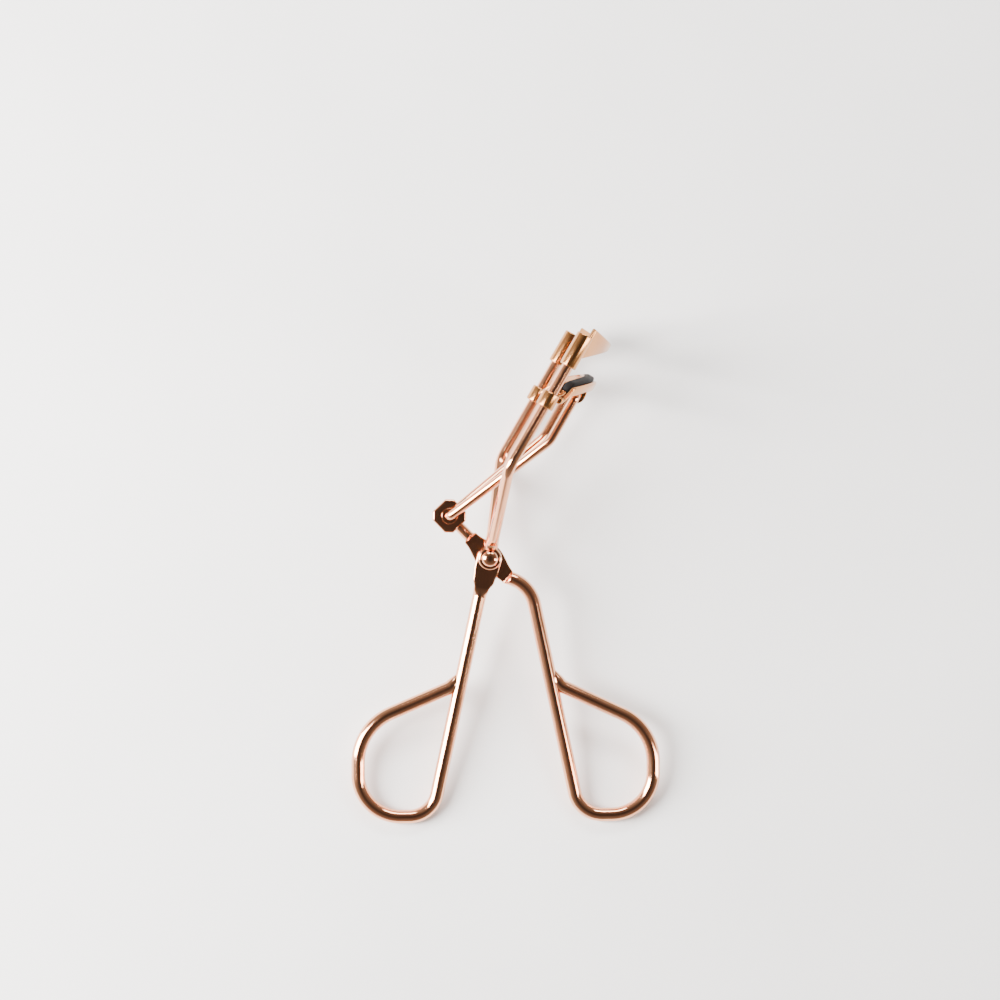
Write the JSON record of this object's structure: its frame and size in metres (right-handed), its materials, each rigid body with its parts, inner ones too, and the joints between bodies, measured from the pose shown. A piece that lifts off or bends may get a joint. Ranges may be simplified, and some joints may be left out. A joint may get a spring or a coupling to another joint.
{
  "type": "eyelash curler",
  "caption": "Hand-held eyelash curler: wire scissor handles with finger loops slide a padded lower jaw along two rails to a bowed upper jaw.",
  "frame": {"origin": "centre of the main rivet, midway between the two handles' flats", "axes": "+Z along the rivet's axis, +Y from the finger loops towards the jaws, +X towards the finger handle's loop"},
  "size_m": [0.0659, 0.1057, 0.038],
  "materials": {
    "plated_wire": "polished rose-gold plating on steel wire",
    "plated_sheet": "polished rose-gold plating on stamped steel sheet",
    "plated_rivet": "polished rose-gold plated rivet",
    "pad_rubber": "soft matt black rubber"
  },
  "bodies": {
    "frame": {"thumb_handle": "plated_wire", "rail_near": "plated_wire", "rail_far": "plated_wire", "upper_jaw": "plated_sheet", "pivot_rivet": "plated_rivet"},
    "finger_lever": {"finger_handle": "plated_wire"},
    "carriage": {"lower_jaw": "plated_sheet", "rubber_pad": "pad_rubber"},
    "links": {"link_near": "plated_wire", "link_far": "plated_wire"}
  },
  "joints": [
    {"name": "handle_squeeze", "type": "hinge", "parent": "frame", "child": "finger_lever", "pos_m": [0, 0, 0], "axis": [0, 0, -1], "range_deg": [0, 27]},
    {"name": "jaw_slide", "type": "slide", "parent": "frame", "child": "carriage", "axis": [0.5, 0.866, 0], "range_m": [0, 0.00579]},
    {"name": "link_swing", "type": "hinge", "parent": "carriage", "child": "links", "pos_m": [0.01772, 0.03487, 0], "axis": [0, 0, 1], "range_deg": [0, 4.14]}
  ],
  "couplings": [
    {"joint": "jaw_slide", "follows": "handle_squeeze", "m_per_rad": 0.012254},
    {"joint": "link_swing", "follows": "handle_squeeze", "ratio": 0.15273}
  ]
}
